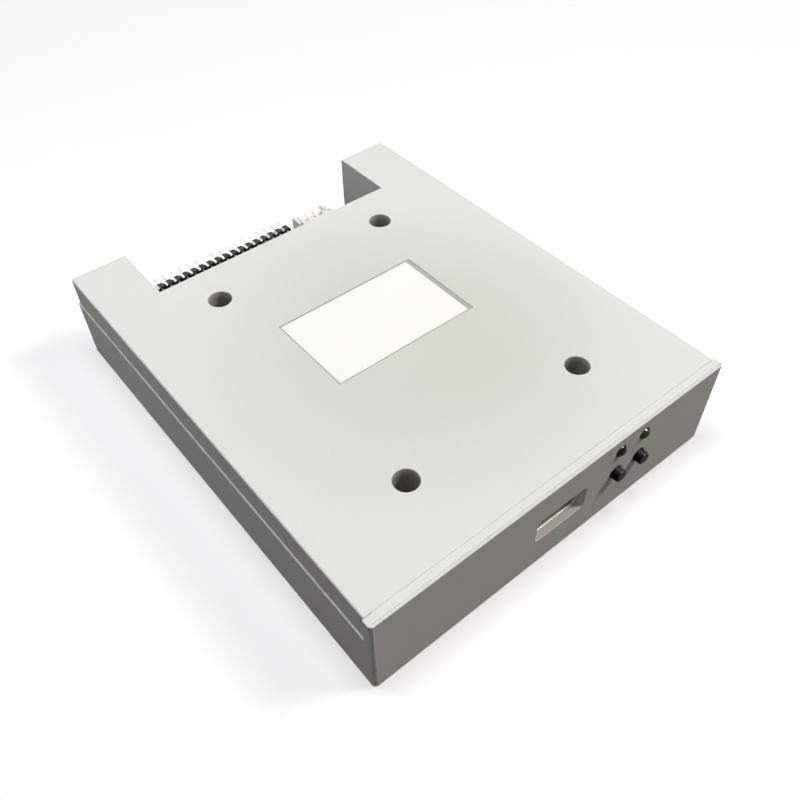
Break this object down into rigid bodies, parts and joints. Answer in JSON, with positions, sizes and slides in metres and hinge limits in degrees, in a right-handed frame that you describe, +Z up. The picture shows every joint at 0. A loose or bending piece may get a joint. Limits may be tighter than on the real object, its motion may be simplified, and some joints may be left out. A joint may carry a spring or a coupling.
{
  "type": "floppy drive emulator",
  "caption": "Flat grey drive-bay case with a USB socket, lamps and push buttons in its front panel, and data, power and jumper headers in a notch at the rear.",
  "frame": {"origin": "centre of the case's underside", "axes": "X to the right as seen from the front, front panel facing -Y, Z up"},
  "size_m": [0.1016, 0.1269, 0.025],
  "materials": {
    "case_plastic": "fine textured moulding, light warm grey",
    "label_paper": "blank matt white label",
    "board_laminate": "green solder mask on glass laminate",
    "zinc_screws": "zinc plated",
    "plated_steel": "nickel plated sheet",
    "white_nylon": "natural white moulding",
    "gilt_contacts": "gilt",
    "red_lens": "tinted clear resin",
    "green_lens": "tinted clear resin",
    "tinned_pins": "tin plated",
    "black_plastic": "black moulding",
    "chip_resin": "black moulded resin",
    "can_aluminium": "bare can"
  },
  "bodies": {
    "case": {"bottom_case": "case_plastic", "top_cover": "case_plastic", "label": "label_paper", "main_board": "board_laminate", "cover_screws": "zinc_screws", "usb_shell": "plated_steel", "usb_tongue": "white_nylon", "usb_contacts": "gilt_contacts", "red_lamp": "red_lens", "green_lamp": "green_lens", "lamp_leads": "tinned_pins", "left_switch_base": "black_plastic", "right_switch_base": "black_plastic", "left_switch_bracket": "plated_steel", "right_switch_bracket": "plated_steel", "left_switch_dome": "plated_steel", "right_switch_dome": "plated_steel", "data_header": "black_plastic", "data_pins": "tinned_pins", "power_header": "white_nylon", "power_pins": "tinned_pins", "jumper_header": "black_plastic", "jumper_pins": "tinned_pins", "jumper_cap": "black_plastic", "processor": "chip_resin", "processor_leads": "tinned_pins", "bus_drivers": "chip_resin", "driver_leads": "tinned_pins", "regulator": "chip_resin", "crystal": "plated_steel", "capacitors": "can_aluminium", "chip_resistors": "chip_resin"},
    "left_button_body": {"left_button": "black_plastic"},
    "right_button_body": {"right_button": "black_plastic"}
  },
  "joints": [
    {"name": "left_press", "type": "slide", "parent": "case", "child": "left_button_body", "axis": [0, 1, 0], "range_m": [0, 0.00025], "stiffness_N_per_m": 4000},
    {"name": "right_press", "type": "slide", "parent": "case", "child": "right_button_body", "axis": [0, 1, 0], "range_m": [0, 0.00025], "stiffness_N_per_m": 4000}
  ]
}
